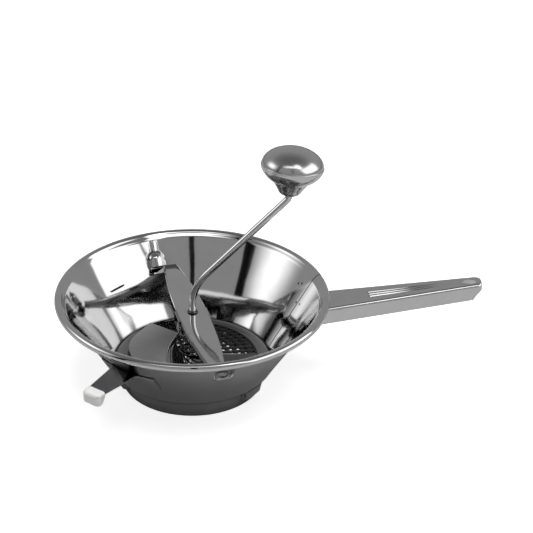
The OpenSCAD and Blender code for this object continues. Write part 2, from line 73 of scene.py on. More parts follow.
def linear(code: str) -> tuple[float, float, float, float]:
    """Turns a colour from sRGB to linear light.

    Args:
        code: Six hex digits, two each for red, green and blue.

    Returns:
        Linear red, green, blue and an alpha of 1.
    """
    parts = [int(code[i:i + 2], 16) / 255 for i in (0, 2, 4)]
    light = [p / 12.92 if p <= 0.04045 else ((p + 0.055) / 1.055) ** 2.4 for p in parts]
    return (*light, 1.0)


def ease(value: Array) -> Array:
    """Smooth step of values, held to 0 to 1: 3v^2 - 2v^3."""
    v = np.clip(value, 0.0, 1.0)
    return v * v * (3 - 2 * v)


def quarter(share: Array) -> Array:
    """Distance from a rounded corner's square outline, for a share of 0 to 1 of its radius."""
    return 1 - np.sqrt(np.maximum(1 - share ** 2, 0.0))


def turn_z(degrees: float) -> Array:
    """Matrix of a turn about Z."""
    c, s = np.cos(np.radians(degrees)), np.sin(np.radians(degrees))
    return np.array([[c, -s, 0.0], [s, c, 0.0], [0.0, 0.0, 1.0]])


def turn_y(degrees: float) -> Array:
    """Matrix of a turn about Y."""
    c, s = np.cos(np.radians(degrees)), np.sin(np.radians(degrees))
    return np.array([[c, 0.0, s], [0.0, 1.0, 0.0], [-s, 0.0, c]])


def unit(vectors: Array) -> Array:
    """Vectors of length 1 along those given."""
    return vectors / np.linalg.norm(vectors, axis=-1, keepdims=True)


def dense(start: float, end: float, step: float) -> Array:
    """Even values from start to end, at most a step apart."""
    return np.linspace(start, end, max(2, int(np.ceil(abs(end - start) / step)) + 1))


def polar(r: Array | float, a: Array | float, z: Array | float) -> Array:
    """Points at radii, angles in radians and heights about Z."""
    return np.stack(np.broadcast_arrays(r * np.cos(a), r * np.sin(a), z), -1)


def arc(centre: Sequence[float], radius: float, start: float, end: float, steps: int) -> Array:
    """Points on a circle from one angle to another, in degrees."""
    a = np.radians(np.linspace(start, end, steps))
    return np.stack([centre[0] + radius * np.cos(a), centre[1] + radius * np.sin(a)], 1)


def softened(path: Array, radii: Sequence[float], steps: int = 5, closed: bool = True) -> Array:
    """Rounds the corners of a flat path with quadratic curves.

    Each corner is replaced by the points (1-t)^2 A + 2t(1-t) B + t^2 C, where B is the corner and
    A and C lie its radius away along the two sides.

    Args:
        path: Corner points, one per row.
        radii: Distance from each corner at which its curve starts. Zero keeps the corner.
        steps: Points in each curve.
        closed: Whether the last point joins the first.

    Returns:
        The points of the rounded path, with the same number for each corner.
    """
    t = np.linspace(0, 1, steps)[:, None]
    count = len(path)
    out = []
    for i, radius in enumerate(radii):
        if not closed and i in (0, count - 1):
            out.append(path[i][None, :])
            continue
        b, before, after = path[i], path[i - 1], path[(i + 1) % count]
        la, lc = np.linalg.norm(before - b), np.linalg.norm(after - b)
        a = b + (before - b) / la * min(radius, la * 0.48)
        c = b + (after - b) / lc * min(radius, lc * 0.48)
        out.append((1 - t) ** 2 * a + 2 * t * (1 - t) * b + t ** 2 * c)
    return np.vstack(out)


def soft_box(left: float, right: float, low: float, high: float,
             edge: float | Sequence[float], steps: int = 4) -> Array:
    """Closed flat box with softened corners, from its lower left corner round."""
    corners = np.array([[left, low], [right, low], [right, high], [left, high]], float)
    return softened(corners, [edge] * 4 if np.isscalar(edge) else edge, steps)


# Meshes --------------------------------------------------------------------------------------


def make_mesh(name: str, points: Array, faces: Sequence[Sequence[int]],
              sharp: float = CRISP) -> Object:
    """Puts points and faces into a smooth-shaded object at the origin.

    A closed form whose signed volume is negative has its faces turned, so that they point outwards.

    Args:
        name: Name of the object.
        points: Points in millimetres, one per row.
        faces: Corner numbers of each face.
        sharp: Angle in degrees above which an edge stays crisp.

    Returns:
        The object, linked to the scene.
    """
    mesh = bpy.data.meshes.new(name)
    mesh.from_pydata((points * MM).tolist(), [], faces)
    mesh.validate()
    mesh.update()
    mesh.calc_loop_triangles()
    tri = np.zeros(len(mesh.loop_triangles) * 3, np.int64)
    mesh.loop_triangles.foreach_get("vertices", tri)
    a, b, c = (points[tri.reshape(-1, 3)[:, k]] for k in range(3))
    if np.einsum("ij,ij->i", a, np.cross(b, c)).sum() < 0:
        mesh.flip_normals()
    mesh.polygons.foreach_set("use_smooth", np.ones(len(mesh.polygons), bool))
    mesh.set_sharp_from_angle(angle=float(np.radians(sharp)))
    obj = bpy.data.objects.new(name, mesh)
    bpy.context.scene.collection.objects.link(obj)
    return obj


def loft(name: str, rings: Array, around: bool = False, sharp: float = CRISP) -> Object:
    """Skins a row of closed rings of points.

    Args:
        name: Name of the object.
        rings: Points as rings by points by 3, in millimetres.
        around: True where the last ring joins the first. Otherwise both ends get a face.
        sharp: Angle above which an edge stays crisp.

    Returns:
        The object.
    """
    count, size = rings.shape[:2]
    index = np.arange(count * size).reshape(count, size)
    if around:
        index = np.vstack([index, index[:1]])
    index = np.hstack([index, index[:, :1]])
    quads = np.stack([index[:-1, :-1], index[1:, :-1], index[1:, 1:], index[:-1, 1:]], -1)
    faces = quads.reshape(-1, 4).tolist()
    if not around:
        faces += [list(range(size)), list(range(count * size - 1, (count - 1) * size - 1, -1))]
    return make_mesh(name, rings.reshape(-1, 3), faces, sharp)


def turned(profile: Array, angles: Array) -> Array:
    """Rings of a closed profile of radius and height, set at angles in degrees about Z."""
    return polar(profile[None, :, 0], np.radians(angles)[:, None], profile[None, :, 1])


def lathe(name: str, profile: Array, steps: int) -> Object:
    """Turns a closed profile of radius and height all the way round Z."""
    return loft(name, turned(profile, np.arange(steps) * 360 / steps), around=True)


def moved(rings: Array, turn: Array, shift: Sequence[float] = (0, 0, 0)) -> Array:
    """Points turned by a matrix and then shifted."""
    return rings @ turn.T + np.asarray(shift, float)


def station(x: float, flat: Array, lift: float = 0.0) -> Array:
    """A flat section of width and height, stood across X and lifted."""
    return np.column_stack([np.full(len(flat), x), flat[:, 0], flat[:, 1] + lift])


def tube(path: Array, radius: float, sides: int) -> Array:
    """Rings of a round rod along a path.

    The ring at each point lies across the path's direction. Its first axis is the ring before's,
    less its part along the path, so the rings don't twist.

    Args:
        path: Points of the centre line, the first of which don't run along Y.
        radius: Radius of the rod.
        sides: Points in each ring.

    Returns:
        Rings by points by 3.
    """
    along = unit(np.gradient(path, axis=0))
    across = np.zeros_like(along)
    axis = np.array([0.0, 1.0, 0.0]) if abs(along[0][1]) < 0.9 else np.array([1.0, 0.0, 0.0])
    for i, d in enumerate(along):
        axis = unit(axis - d * (axis @ d))
        across[i] = axis
    up = np.cross(along, across)
    a = np.linspace(0, 2 * np.pi, sides, endpoint=False)
    return path[:, None] + radius * (np.cos(a)[None, :, None] * across[:, None]
                                     + np.sin(a)[None, :, None] * up[:, None])


def channel(stations: Array, half: Array, depth: Array, sheet: Array, bend: float,
            across: Array) -> Array:
    """Rings of a sheet bent down along both sides, for each station along X.

    Args:
        stations: X of each ring.
        half: Half of the width at each station.
        depth: Depth of the side flanges at each station.
        sheet: Thickness of the top at each station.
        bend: Outside radius of the bends.
        across: Places over the flat top as shares of the half width, from -1 to 1.

    Returns:
        Rings by points by 3, with the top face at Z = 0.
    """
    rings = []
    edge = 0.2
    corner = np.radians(np.linspace(90, 0, 7))
    for x, w, d, t in zip(stations, half, depth, sheet):
        r, wall = min(bend, w * 0.6, d * 0.9), min(1.2, w * 0.4)
        flat = across * (w - r)
        over = np.stack([flat, 0 * flat], 1)
        right = np.stack([w - r + r * np.cos(corner), -r + r * np.sin(corner)], 1)[1:]
        inner_r = max(r - wall, 0.15)
        under = min(t, d - 0.01)
        inside = np.stack([w - wall - inner_r + inner_r * np.cos(corner[::-1]),
                           -under - inner_r + inner_r * np.sin(corner[::-1])], 1)
        inside[:, 1] = np.maximum(inside[:, 1], -d)
        low = np.array([[w, -d + edge], [w - edge, -d], [w - wall + edge, -d],
                        [w - wall, -d + edge]])
        low[:, 1] = np.minimum(low[:, 1], -r * 0.95) if d > r else low[:, 1]
        below = np.stack([flat[::-1] * (w - wall - inner_r) / (w - r), 0 * flat - under], 1)
        half_out = np.vstack([right, low, inside])
        left = half_out[::-1] * [-1, 1]
        rings.append(station(x, np.vstack([over, half_out, below, left])))
    return np.array(rings)


def cut(obj: Object, cutter: Object) -> Object:
    """Takes a closed form out of an object, and removes the form."""
    tool = obj.modifiers.new("cut", "BOOLEAN")
    tool.operation, tool.solver, tool.object = "DIFFERENCE", "EXACT", cutter
    seen = obj.evaluated_get(bpy.context.evaluated_depsgraph_get())
    shaped = bpy.data.meshes.new_from_object(seen)
    obj.modifiers.clear()
    old, obj.data = obj.data, shaped
    bpy.data.meshes.remove(old)
    bpy.data.objects.remove(cutter)
    obj.data.set_sharp_from_angle(angle=float(np.radians(CRISP)))
    return obj


# Finishes ------------------------------------------------------------------------------------


def add(tree: Tree, kind: str, **inputs: object) -> bpy.types.Node:
    """Adds one shader node.

    Args:
        tree: Node tree that gets the node.
        kind: Type of the node, without the word ShaderNode.
        inputs: Socket to link or value to set, by the input's name with an underscore for each
            space, or by i0 or i1 for its number. Other names are properties of the node.

    Returns:
        The node.
    """
    node = tree.nodes.new("ShaderNode" + kind)
    for key, value in inputs.items():
        name = int(key[1:]) if key[1:].isdigit() else key.replace("_", " ")
        if isinstance(name, str) and name not in node.inputs:
            setattr(node, key, value)
        elif isinstance(value, Socket):
            tree.links.new(value, node.inputs[name])
        else:
            node.inputs[name].default_value = value
    return node


def get(tree: Tree, kind: str, out: int | str = 0, **inputs: object) -> Socket:
    """Adds one shader node as add does, and gives one of its outputs."""
    return add(tree, kind, **inputs).outputs[out]


def darken(tree: Tree, tint: Socket | tuple, keep: Socket) -> Socket:
    """Multiplies a colour by the share of it that is kept."""
    return get(tree, "MixRGB", blend_type="MULTIPLY", Fac=1.0, Color1=tint, Color2=keep)


def distance(tree: Tree, value: Socket, middle: float) -> Socket:
    """Size of the difference between a value and a fixed one."""
    off = get(tree, "Math", operation="SUBTRACT", i0=value, i1=middle)
    return get(tree, "Math", operation="ABSOLUTE", i0=off)


def product(tree: Tree, one: Socket, other: Socket) -> Socket:
    """One value times another."""
    return get(tree, "Math", operation="MULTIPLY", i0=one, i1=other)


def blank(name: str) -> tuple[Material, Tree]:
    """A new material with an empty node tree."""
    material = bpy.data.materials.new(name)
    material.use_nodes = True
    material.node_tree.nodes.clear()
    return material, material.node_tree


class Grain(Enum):
    """Direction of the fine polishing lines."""

    ROUND_AXIS = "round"
    ALONG_X = "along"
    NONE = "none"


@dataclass(frozen=True)
class StainlessSteel:
    """Stainless steel sheet 18/10, polished or brushed.

    Polished sheet mirrors the room, with slight waves from the press. Its buffing lines are a few
    hundredths of a millimetre apart; they are drawn wider here, so that they show. Sizes and
    heights are in millimetres, the seam's angle in degrees.
    """

    name: str
    colour: str = "C9C9C9"
    roughness: float = 0.05
    wave: float = 0.02
    wave_size: float = 30.0
    grain: Grain = Grain.NONE
    grain_size: float = 0.5
    grain_depth: float = 0.01
    # painted shade: reach in millimetres of the darkening of hollows
    shade_reach: float = 4.0
    seam_angle: float | None = None
    # painted shade: height of the darkened band at the foot's crease
    crease_shade_z: float | None = None
    welds: tuple[tuple[float, float, float], ...] = ()

    def build(self) -> Material:
        """Makes the material's nodes."""
        material, tree = blank(self.name)
        place = get(tree, "TexCoord", "Object")
        waves = get(tree, "TexNoise", "Fac", Vector=place, Scale=1 / (self.wave_size * MM),
                    Detail=1.0)
        smear = get(tree, "TexNoise", "Fac", Vector=place, Scale=60.0, Detail=5.0, Roughness=0.65)
        rough = get(tree, "MapRange", Value=smear, To_Min=self.roughness * 0.75,
                    To_Max=self.roughness * 1.35)
        normal = get(tree, "Bump", Height=waves, Strength=1.0, Distance=self.wave * MM)
        if self.grain is not Grain.NONE:
            normal = self.brushed(tree, place, normal)
        mark = get(tree, "MapRange", Value=smear, From_Min=0.3, From_Max=0.7, To_Min=0.93)
        # Painted shade: narrow hollows and seams are darkened in the colour.
        tint = self.painted_shade(tree, darken(tree, linear(self.colour), mark))
        if self.seam_angle is not None:
            tint = self.seamed(tree, place, tint)
        # Painted shade: a band at the crease's height is darkened.
        if self.crease_shade_z is not None:
            tint = self.painted_crease_shade(tree, place, tint)
        shader = get(tree, "BsdfPrincipled", Metallic=1.0, Base_Color=tint, Roughness=rough,
                     Normal=normal)
        add(tree, "OutputMaterial", Surface=shader)
        return material

    def brushed(self, tree: Tree, place: Socket, below: Socket) -> Socket:
        """Adds the polishing lines: noise that is stretched along them."""
        fine = 1 / (self.grain_size * MM)
        if self.grain is Grain.ALONG_X:
            stretch = (fine * 0.012, fine, fine)
        else:
            apart = add(tree, "SeparateXYZ", Vector=place).outputs
            flat = get(tree, "CombineXYZ", X=apart["X"], Y=apart["Y"])
            reach = get(tree, "VectorMath", "Value", operation="LENGTH", Vector=flat)
            place = get(tree, "CombineXYZ", X=reach, Y=apart["Z"])
            stretch = (fine, fine, 1.0)
        where = get(tree, "Mapping", Vector=place, Scale=stretch)
        lines = get(tree, "TexNoise", "Fac", Vector=where, Scale=1.0, Detail=2.0)
        return get(tree, "Bump", Height=lines, Normal=below, Strength=1.0,
                   Distance=self.grain_depth * MM)

    def painted_shade(self, tree: Tree, tint: Socket) -> Socket:
        """Painted shade: darkens narrow hollows and seams by ambient occlusion, where shade falls.
        """
        near = get(tree, "AmbientOcclusion", "AO", samples=4, Distance=self.shade_reach * MM)
        keep = get(tree, "MapRange", Value=near, From_Min=0.2, From_Max=0.85, To_Min=0.12)
        return darken(tree, tint, keep)

    def painted_crease_shade(self, tree: Tree, place: Socket, tint: Socket) -> Socket:
        """Painted shade: darkens a band at the height of a sharp crease, where shade falls in the
        fold.
        """
        height = get(tree, "SeparateXYZ", "Z", Vector=place)
        near = distance(tree, height, self.crease_shade_z * MM)
        keep = get(tree, "MapRange", Value=near, From_Min=0.7 * MM, From_Max=2.0 * MM, To_Min=0.2)
        return darken(tree, tint, keep)

    def seamed(self, tree: Tree, place: Socket, tint: Socket) -> Socket:
        """Darkens a hair line up the wall, where the sheet was rolled and closed, and its welds."""
        turn = get(tree, "Mapping", Vector=place, Rotation=(0, 0, -np.radians(self.seam_angle)))
        apart = add(tree, "SeparateXYZ", Vector=turn).outputs
        off = get(tree, "Math", operation="ABSOLUTE", i0=apart["Y"])
        near = get(tree, "MapRange", Value=off, From_Min=0.35 * MM, From_Max=0.7 * MM,
                   To_Min=1.0, To_Max=0.0)
        ahead = get(tree, "Math", operation="GREATER_THAN", i0=apart["X"], i1=0.0)
        line = product(tree, near, ahead)
        tint = get(tree, "MixRGB", Fac=line, Color1=tint, Color2=linear("161616"))
        for weld in self.welds:
            away = get(tree, "VectorMath", "Value", operation="DISTANCE", i0=place,
                       i1=tuple(v * MM for v in weld))
            spot = get(tree, "MapRange", Value=away, From_Min=0.8 * MM, From_Max=1.3 * MM,
                       To_Min=1.0, To_Max=0.0)
            tint = get(tree, "MixRGB", Fac=spot, Color1=tint, Color2=linear("3A3A3A"))
        return tint


@dataclass(frozen=True)
class Plastic:
    """Injection-moulded nylon or acetal: a soft sheen over a very fine spark-eroded skin."""

    name: str
    colour: str
    roughness: float = 0.38

    def build(self) -> Material:
        """Makes the material's nodes."""
        material, tree = blank(self.name)
        place = get(tree, "TexCoord", "Object")
        skin = get(tree, "TexNoise", "Fac", Vector=place, Scale=2500.0, Detail=2.0)
        cloud = get(tree, "TexNoise", "Fac", Vector=place, Scale=90.0, Detail=3.0)
        shade = get(tree, "MapRange", Value=cloud, To_Min=0.94)
        tint = darken(tree, linear(self.colour), shade)
        bump = get(tree, "Bump", Height=skin, Strength=0.4, Distance=0.02 * MM)
        shader = get(tree, "BsdfPrincipled", Roughness=self.roughness, IOR=1.53, Base_Color=tint,
                     Normal=bump)
        add(tree, "OutputMaterial", Surface=shader)
        return material


@dataclass(frozen=True)
class Matt:
    """Painted board with no gloss, for the cards."""

    name: str
    colour: str

    def build(self) -> Material:
        """Makes the material's nodes."""
        material, tree = blank(self.name)
        shader = get(tree, "BsdfDiffuse", Color=linear(self.colour))
        add(tree, "OutputMaterial", Surface=shader)
        return material


class Finishes:
    """Every finish of the mill, made once."""

    def __init__(self) -> None:
        """Builds the materials."""
        # Painted shade: this finish darkens the bowl's hollows and a band at the foot's crease.
        self.bowl = StainlessSteel(
            "mirror_stainless_bowl", roughness=0.07, wave=0.4, wave_size=42,
            grain=Grain.ROUND_AXIS, grain_size=0.6, grain_depth=0.0012, shade_reach=9.0,
            seam_angle=9.0, crease_shade_z=18.0, welds=((99.2, 31.4, 72.1), (101.6, 27.6, 74.2),
                                                  (95.3, 17.7, 60.6), (97.2, 11.3, 62.1))).build()
        self.knob = StainlessSteel("spun_stainless_knob", roughness=0.2, wave_size=18).build()
        self.mirror = StainlessSteel("mirror_stainless_pressed", wave_size=25).build()
        # Painted shade: the rest's steel is darker than the bowl's, standing in for the dark
        # reflection its arm shows.
        self.rest = StainlessSteel("dark_stainless_rest", colour="808082", roughness=0.06,
                                   wave=0.03, wave_size=18).build()
        self.handle = StainlessSteel("brushed_stainless_handle", roughness=0.13,
                                     grain=Grain.ALONG_X, grain_depth=0.004).build()
        self.rod = StainlessSteel("drawn_stainless_rod", roughness=0.12, wave=0.01,
                                  wave_size=12).build()
        # Painted shade: the disc's steel gets a dark colour, standing in for the dark reflections
        # its perforated field shows.
        self.disc = StainlessSteel("pressed_stainless_disc", colour="5C5C5E", roughness=0.1,
                                   wave=0.03, wave_size=20).build()
        self.spring = StainlessSteel("dark_spring_wire", colour="4A4A4C", roughness=0.14,
                                     wave=0.01, wave_size=6).build()
        self.dark = StainlessSteel("oiled_steel", colour="77777A", roughness=0.22, wave=0.01,
                                   wave_size=6).build()
        self.white = Plastic("white_nylon_cap", "FCFCFA").build()


@dataclass(frozen=True)
class Part:
    """Where a finished piece goes: the body it rides on and the solids it stands for."""

    body: str
    nodes: tuple[str, ...]


def fit(obj: Object, finish: Material, part: Part) -> Object:
    """Gives a piece its finish and its body, and hides the solids it stands for."""
    obj.data.materials.clear()
    obj.data.materials.append(finish)
    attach(obj, part.body)
    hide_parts(*part.nodes)
    log.info("%s: %d faces", obj.name, len(obj.data.polygons))
    return obj


# Sub-assemblies ------------------------------------------------------------------------------


@dataclass
class Bowl:
    """Conical bowl of sheet, with a rolled rim, pressed ledges in its foot and two catches."""

    rim_r: float = 120.0
    rim_z: float = 84.0
    bead_r: float = 3.5
    inset: float = 4.15
    slope: float = 0.62
    sheet: float = 0.8
    seat_z: float = 18.0
    ledge_w: float = 4.6
    foot_r: float = 63.0
    foot_top: float = 30.0
    band_h: float = 4.0
    pillar_lean: float = 1.8
    pillar_z: float = 8.0
    ledge_n: int = 3
    ledge_az: float = -105.5
    ledge_a: float = 104.0
    hood_az: tuple[float, float] = (104.5, -80.5)
    hood_z: float = 61.0
    hood_r: float = 8.4
    hood_depth: float = 7.0
    hood_len: float = 6.5
    lip: float = 1.8

    def wall_r(self, z: Array | float) -> Array | float:
        """Outside radius of the wall at a height."""
        return self.rim_r - self.bead_r - self.inset - (self.rim_z - z) * self.slope

    @property
    def wall_t(self) -> float:
        """Thickness of the wall measured along the radius."""
        return self.sheet * float(np.hypot(1, self.slope))

    def trimmed(self, rings: Array, sunk: float) -> Array:
        """Moves points inside the wall's outer face out along X to it, less a sunk length."""
        face = np.sqrt(np.maximum(self.wall_r(rings[..., 2]) ** 2 - rings[..., 1] ** 2, 0))
        rings[..., 0] = np.maximum(rings[..., 0], face - sunk)
        return rings

    def rim(self) -> Array:
        """Rolled edge, from the wall's outside round the roll and back to its inside."""
        end, middle = -115, self.bead_r - self.sheet / 2
        centre = (self.rim_r - self.bead_r, self.rim_z)
        inner = arc(centre, self.bead_r - self.sheet, 168, end, 22)
        outer = arc(centre, self.bead_r, end, 138, 30)
        lip = arc((centre[0] + middle * np.cos(np.radians(end)),
                   centre[1] + middle * np.sin(np.radians(end))), self.sheet / 2, 60, -120, 5)
        return np.vstack([inner, lip[1:-1], outer])

    def profile(self, pressed: bool) -> Array:
        """Closed profile of the sheet, with the same points through a ledge and between ledges."""
        seat, t, f, b = self.wall_r(self.seat_z), self.sheet, self.foot_r, self.band_h
        ledge, top_r = seat - self.ledge_w, self.wall_r(self.foot_top)
        if pressed:
            low_out = [[ledge, self.seat_z - t], [seat + 0.05, self.seat_z - t + 0.05]]
            low_in = [[seat - self.wall_t, self.seat_z], [ledge - t, self.seat_z]]
        else:
            pillar = seat - self.pillar_lean
            low_out = [[pillar, self.pillar_z], [seat, self.seat_z]]
            low_in = [[seat - self.wall_t, self.seat_z], [pillar - t, self.pillar_z + t]]
        out = softened(np.array([[f, 0.0], [f, b], *low_out, [top_r, self.foot_top]]),
                       [0, 1.2, 2.2, 2.2, 0], 7, closed=False)
        heel_z = b if pressed else b + t
        inside = softened(np.array([[top_r - self.wall_t, self.foot_top], *low_in,
                                    [f - t, heel_z], [f - t, 0.0]]),
                          [0, 0.9, 1.2, 1.2, 0], 5, closed=False)
        heights = np.concatenate([[40.0, 48.0, 54.0], self.catch_rows(), [82.0]])
        wall_out = np.stack([self.wall_r(heights), heights], 1)
        wall_in = wall_out[::-1] - [self.wall_t, 0.0]
        roll = self.rim()
        flare = np.array([roll[-1], [113.0, 85.2], wall_in[0] + [0.6, 1.0]])
        flare = softened(flare, [0, 1.2, 0], 5, closed=False)
        return np.vstack([out, wall_out, roll, flare[1:], wall_in, inside])

    def catch_rows(self) -> Array:
        """Heights at which the wall needs points to show the pressed catches."""
        rise = np.cos(np.arctan(self.slope))
        below = [-5.6, -4.6, -3.6, -2.6, -1.7, -0.9, -0.4, 0.0]
        return self.hood_z + np.concatenate([below, np.linspace(0.6, 15.0, 22)]) * rise

    def dent(self, points: Array, az: float) -> Array:
        """Depth to which a catch is pressed in at each point.

        The form is a round post with a ball on top. Its axis stands along the wall, hood_r less
        hood_depth outside it, so the depth is the half chord of the circle less that distance.
        Below the slit under the post the wall bulges out into a lip.
        """
        lean = np.arctan(self.slope)
        local = points @ turn_z(az)
        x, y = local[..., 0] - self.wall_r(self.hood_z), local[..., 1]
        z = local[..., 2] - self.hood_z
        up = z * np.cos(lean) + x * np.sin(lean)
        ball = np.maximum(up - self.hood_len, 0.0)
        chord = np.sqrt(np.maximum(self.hood_r ** 2 - y ** 2 - ball ** 2, 0.0))
        depth = chord - (self.hood_r - self.hood_depth)
        depth = 0.5 * (depth + np.sqrt(depth ** 2 + 0.35))
        away, edge = np.hypot(y, ball), self.hood_r * 1.12
        outside = (up < -0.1) | (away > edge) | (x < -14)
        pressed = np.where(outside, 0.0, depth * ease((edge - away) / 1.6))
        below = ease((up + 6.0) / 4.5) * ease((-0.25 - up) / 0.3)
        return pressed - self.lip * below * ease((self.hood_r * 1.05 - np.abs(y)) / 3.5)

    def shell(self) -> Object:
        """Skins the sheet.

        Each column's profile is a mix of the pressed and the plain one: 1 inside a ledge, easing
        to 0 over a degree at its ends. The catches then push the wall in along its normal.
        """
        middles = [self.ledge_az + 360 / self.ledge_n * i for i in range(self.ledge_n)]
        fine = [np.arange(0, 360, 1.5)]
        fine += [az + np.linspace(-6.3, 6.3, 43) for az in self.hood_az]
        fine += [m + s * self.ledge_a / 2 + np.linspace(-0.9, 0.9, 9)
                 for m in middles for s in (-1, 1)]
        az = np.unique(np.round(np.concatenate(fine) % 360, 3))
        off = np.min([np.abs((az - m + 180) % 360 - 180) for m in middles], axis=0)
        mix = ease((self.ledge_a / 2 - off + 0.6) / 1.2)[:, None, None]
        rings = mix * turned(self.profile(True), az) + (1 - mix) * turned(self.profile(False), az)
        lean = np.arctan(self.slope)
        out = polar(np.cos(lean), np.radians(az), -np.sin(lean))[:, None, :]
        on_wall = (rings[..., 2] > self.hood_z - 7) & (rings[..., 2] < self.rim_z - 3)
        for hood in self.hood_az:
            depth = np.where(on_wall, self.dent(rings, hood), 0.0)
            rings = rings - out * depth[..., None]
        return loft("bowl_sheet", rings, around=True, sharp=CRISP_SHEET)

    def build(self, finishes: Finishes) -> None:
        """Makes the bowl's sheet."""
        fit(self.shell(), finishes.bowl, Part("bowl", ("bowl_shell",)))


@dataclass
class Handle:
    """Handle pressed from sheet: a channel with three grooves and a hole to hang it by."""

    bowl: Bowl
    start: float = 94.0
    reach: float = 260.0
    pivot: float = 120.0
    height: float = 72.5
    tilt: float = 4.8
    root_w: float = 33.0
    tip_w: float = 16.0
    drop: float = 15.0
    sheet: float = 1.2
    bend: float = 2.6
    corner: float = 4.5
    notch_r: float = 20.0
    notch_out: float = 9.0
    groove_w: float = 1.5
    groove_depth: float = 0.9
    groove_pitch: float = 4.2
    groove_start: float = 156.0
    groove_len: float = 68.0
    hole_d: float = 9.0
    hole_len: float = 8.0
    hole_from_tip: float = 9.0

    def half(self, x: Array) -> Array:
        """Half of the width, which narrows evenly and is rounded at the tip."""
        share = (x - self.pivot) / (self.reach - self.pivot)
        w = (self.root_w + (self.tip_w - self.root_w) * share) / 2
        past = np.clip((x - self.reach + self.corner) / self.corner, 0, 1)
        return w - self.corner * quarter(past)

    def depth(self, x: Array) -> Array:
        """Depth of the flanges, which are cut away on a circle towards the tip."""
        chord = np.sqrt(np.maximum(self.notch_r ** 2 - (x - self.reach - self.notch_out) ** 2, 0.0))
        return np.minimum(self.drop, self.drop + self.notch_out - chord)

    def placed(self, rings: Array) -> Array:
        """Tilts and lifts what was made level along X."""
        pivot = [self.pivot, 0, 0]
        return moved(rings - pivot, turn_y(-self.tilt), (self.pivot, 0, self.height))

    def body(self) -> Object:
        """Sweeps the channel, presses the grooves and cuts the hole.

        Stations lie close together at the wall, at both ends of the grooves and at the tip.
        """
        spans = [(self.start, 112, 1.5), (114, 152, 4), (153, 160, 0.7), (162, 220, 4),
                 (221, 228, 0.7), (230, 248, 2.5), (249, self.reach - 1.3, 0.5),
                 (self.reach - 1.2, self.reach, 0.15)]
        x = np.concatenate([dense(*span) for span in spans])
        half, depth = self.half(x), self.depth(x)
        sheet = np.where(x > self.reach - self.sheet - 0.08, depth - 0.3, self.sheet)
        flat_half = 13.0
        lines = np.array([-1, 0, 1]) * self.groove_pitch / flat_half
        near = np.linspace(-0.11, 0.11, 9)
        across = np.unique(np.round(np.concatenate([[-1, 1], np.linspace(-0.95, 0.95, 9),
                                                    *(line + near for line in lines)]), 4))
        rings = channel(x, half, depth, sheet, self.bend, across)
        over = rings[..., 2] > -self.sheet - 0.05
        past = rings[..., 0] - self.groove_start
        ends = ease(past / 2.2) * ease((self.groove_len - past) / 62) ** 0.5
        for line in lines:
            centre = line * (self.half(rings[..., 0]) - self.bend)
            off = (rings[..., 1] - centre) / (self.groove_w / 2)
            pressed = self.groove_depth * ends * np.exp(-1.6 * off ** 2)
            rings[..., 2] -= np.where(over, pressed, 0.0)
        rings = self.bowl.trimmed(self.placed(rings), 0.3)
        return cut(loft("handle_channel", rings, sharp=CRISP_SHEET), self.hole())

    def hole(self) -> Object:
        """Drop-shaped plug: a circle drawn out to a narrow end towards the bowl."""
        ring = arc((0, 0), self.hole_d / 2, -115, 115, 25)
        point = arc((-self.hole_len, 0), 0.8, 125, 235, 7)
        outline = np.vstack([ring, point]) + [self.reach - self.hole_from_tip, 0]
        rings = np.array([np.column_stack([outline, np.full(len(outline), z)])
                          for z in (-8.0, 6.0)])
        return loft("hole_plug", self.placed(rings))

    def build(self, finishes: Finishes) -> None:
        """Makes the handle."""
        fit(self.body(), finishes.handle, Part("bowl", ("handle",)))


